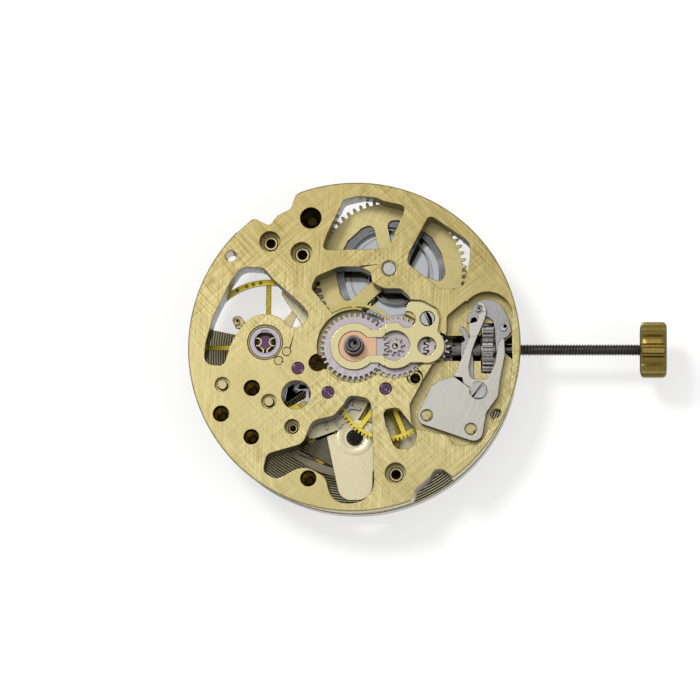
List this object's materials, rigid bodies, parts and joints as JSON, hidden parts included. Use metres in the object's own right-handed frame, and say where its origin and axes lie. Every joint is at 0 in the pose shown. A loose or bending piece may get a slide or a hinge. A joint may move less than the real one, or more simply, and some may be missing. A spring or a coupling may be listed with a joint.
{
  "type": "skeleton watch movement",
  "caption": "Round automatic skeleton watch movement, seen from the dial side: pierced brass plate, motion work, keyless work, barrel, gear train, balance, rotor and winding stem.",
  "frame": {"origin": "on the movement axis, where the hands turn, level with the underside of the casing flange", "axes": "+Z out of the dial side, +X along the winding stem towards the crown, +Y towards twelve o'clock"},
  "size_m": [0.0374, 0.026, 0.007],
  "materials": {
    "plate_brass": "fine brushed, pale brass",
    "gilt_brass": "gilt",
    "copper_alloy": "polished copper alloy",
    "steel": "satin",
    "dark_steel": "dark, oiled",
    "spring_steel": "polished strip",
    "ruby": "polished jewel"
  },
  "bodies": {
    "frame": {"mainplate": "plate_brass", "motion_bridge": "plate_brass", "dial_screws": "steel", "hour_washer": "copper_alloy", "setting_bridge": "steel", "yoke_spring": "steel", "click_spring": "steel", "hairspring": "spring_steel", "balance_cock": "plate_brass", "regulator": "steel", "stud_holder": "steel", "shock_settings": "steel", "shock_springs": "gilt_brass", "shock_jewels": "ruby", "plate_jewels": "ruby", "bridge_jewels": "ruby", "fourth_bridge": "plate_brass", "pallet_bridge": "plate_brass", "train_bridge": "plate_brass", "barrel_bridge": "plate_brass", "bridge_screws": "steel", "steady_pins": "plate_brass", "automatic_bridge": "plate_brass", "bearing_race": "steel", "wheel_guard": "steel", "seconds_spring": "steel"},
    "hour": {"hour_wheel": "steel"},
    "cannon": {"cannon_pinion": "dark_steel"},
    "minute": {"minute_wheel": "steel"},
    "setting": {"setting_wheel": "steel"},
    "barrel": {"barrel_drum": "plate_brass", "barrel_cover": "steel", "mainspring": "spring_steel"},
    "ratchet": {"barrel_arbor": "steel", "ratchet_wheel": "steel"},
    "crown_wheel": {"crown_wheel": "steel"},
    "click": {"click": "steel"},
    "centre": {"centre_wheel": "gilt_brass", "centre_arbor": "steel"},
    "third": {"third_wheel": "gilt_brass", "third_arbor": "steel"},
    "fourth": {"fourth_wheel": "gilt_brass", "fourth_arbor": "steel"},
    "escape": {"escape_wheel": "steel", "escape_arbor": "steel"},
    "pallets": {"pallet_fork": "steel", "pallet_stones": "ruby"},
    "balance": {"balance_wheel": "gilt_brass", "balance_staff": "steel", "roller": "steel"},
    "winding_pinion": {"winding_pinion": "dark_steel"},
    "stem": {"stem": "dark_steel", "crown": "plate_brass"},
    "sliding_pinion": {"sliding_pinion": "dark_steel"},
    "yoke": {"yoke": "steel"},
    "setting_lever": {"setting_lever": "steel"},
    "rotor": {"rotor": "steel", "rotor_weight": "dark_steel"},
    "reverser": {"reverser_wheel": "steel"},
    "winding_gear": {"reverser_pinion": "steel"}
  },
  "joints": [
    {"name": "fourth_turn", "type": "hinge", "parent": "frame", "child": "fourth", "pos_m": [0, -0.0069, -0.0022], "axis": [0, 0, 1], "continuous": true},
    {"name": "third_turn", "type": "hinge", "parent": "frame", "child": "third", "pos_m": [0.00251, -0.00336, -0.0014], "axis": [0, 0, 1], "continuous": true},
    {"name": "centre_turn", "type": "hinge", "parent": "frame", "child": "centre", "pos_m": [0, 0, -0.001], "axis": [0, 0, 1], "continuous": true},
    {"name": "cannon_turn", "type": "hinge", "parent": "frame", "child": "cannon", "pos_m": [0, 0, 0], "axis": [0, 0, 1], "continuous": true},
    {"name": "minute_turn", "type": "hinge", "parent": "frame", "child": "minute", "pos_m": [0.0032, 0.00005, -0.0002], "axis": [0, 0, 1], "continuous": true},
    {"name": "hour_turn", "type": "hinge", "parent": "frame", "child": "hour", "pos_m": [0, 0, 0], "axis": [0, 0, 1], "continuous": true},
    {"name": "setting_turn", "type": "hinge", "parent": "frame", "child": "setting", "pos_m": [0.00649, -0.00002, -0.0004], "axis": [0, 0, 1], "continuous": true},
    {"name": "barrel_turn", "type": "hinge", "parent": "frame", "child": "barrel", "pos_m": [0.0027, 0.00615, -0.0024], "axis": [0, 0, 1], "continuous": true},
    {"name": "escape_turn", "type": "hinge", "parent": "frame", "child": "escape", "pos_m": [-0.00198, -0.00366, -0.0016], "axis": [0, 0, 1], "continuous": true},
    {"name": "pallet_swing", "type": "hinge", "parent": "frame", "child": "pallets", "pos_m": [-0.00435, -0.00174, -0.0016], "axis": [0, 0, 1], "range_deg": [-5, 5]},
    {"name": "balance_swing", "type": "hinge", "parent": "frame", "child": "balance", "pos_m": [-0.00695, 0.0003, -0.0024], "axis": [0, 0, 1], "range_deg": [-270, 270], "stiffness_Nm_per_rad": 0.0000008},
    {"name": "stem_turn", "type": "hinge", "parent": "frame", "child": "winding_pinion", "pos_m": [0.0104, 0, -0.0015], "axis": [1, 0, 0], "continuous": true},
    {"name": "stem_pull", "type": "slide", "parent": "winding_pinion", "child": "stem", "axis": [1, 0, 0], "range_m": [0, 0.0006]},
    {"name": "clutch_slide", "type": "slide", "parent": "winding_pinion", "child": "sliding_pinion", "axis": [1, 0, 0], "range_m": [-0.00046, 0]},
    {"name": "yoke_swing", "type": "hinge", "parent": "frame", "child": "yoke", "pos_m": [0.009, -0.0042, -0.0005], "axis": [0, 0, 1], "range_deg": [0, 6.3]},
    {"name": "setting_lever_swing", "type": "hinge", "parent": "frame", "child": "setting_lever", "pos_m": [0.01164, 0.00155, -0.0003], "axis": [0, 0, 1], "range_deg": [0, 22]},
    {"name": "crown_wheel_turn", "type": "hinge", "parent": "frame", "child": "crown_wheel", "pos_m": [0.0072, 0, -0.0035], "axis": [0, 0, 1], "continuous": true},
    {"name": "ratchet_turn", "type": "hinge", "parent": "frame", "child": "ratchet", "pos_m": [0.0027, 0.00615, -0.0035], "axis": [0, 0, 1], "continuous": true},
    {"name": "winding_gear_turn", "type": "hinge", "parent": "frame", "child": "winding_gear", "pos_m": [-0.00176, 0.00344, -0.0039], "axis": [0, 0, 1], "continuous": true},
    {"name": "click_lift", "type": "hinge", "parent": "frame", "child": "click", "pos_m": [-0.0024, 0.00902, -0.0035], "axis": [0, 0, -1], "range_deg": [0, 8], "stiffness_Nm_per_rad": 0.000005},
    {"name": "rotor_turn", "type": "hinge", "parent": "frame", "child": "rotor", "pos_m": [0, 0, -0.0047], "axis": [0, 0, 1], "continuous": true},
    {"name": "reverser_turn", "type": "hinge", "parent": "frame", "child": "reverser", "pos_m": [-0.00176, 0.00344, -0.0044], "axis": [0, 0, 1], "continuous": true}
  ],
  "couplings": [
    {"joint": "third_turn", "follows": "fourth_turn", "ratio": -0.13333},
    {"joint": "centre_turn", "follows": "fourth_turn", "ratio": 0.016667},
    {"joint": "cannon_turn", "follows": "fourth_turn", "ratio": 0.016667},
    {"joint": "barrel_turn", "follows": "fourth_turn", "ratio": -0.0025253},
    {"joint": "minute_turn", "follows": "fourth_turn", "ratio": -0.0055556},
    {"joint": "hour_turn", "follows": "fourth_turn", "ratio": 0.0013889},
    {"joint": "setting_turn", "follows": "fourth_turn", "ratio": 0.015278},
    {"joint": "escape_turn", "follows": "fourth_turn", "ratio": -12},
    {"joint": "clutch_slide", "follows": "stem_pull", "ratio": -0.75},
    {"joint": "yoke_swing", "follows": "stem_pull", "rad_per_m": 178.57},
    {"joint": "setting_lever_swing", "follows": "stem_pull", "rad_per_m": 637},
    {"joint": "crown_wheel_turn", "follows": "stem_turn", "ratio": 0.75},
    {"joint": "ratchet_turn", "follows": "stem_turn", "ratio": -0.54545},
    {"joint": "winding_gear_turn", "follows": "stem_turn", "ratio": 3},
    {"joint": "reverser_turn", "follows": "rotor_turn", "ratio": -1.0526}
  ]
}
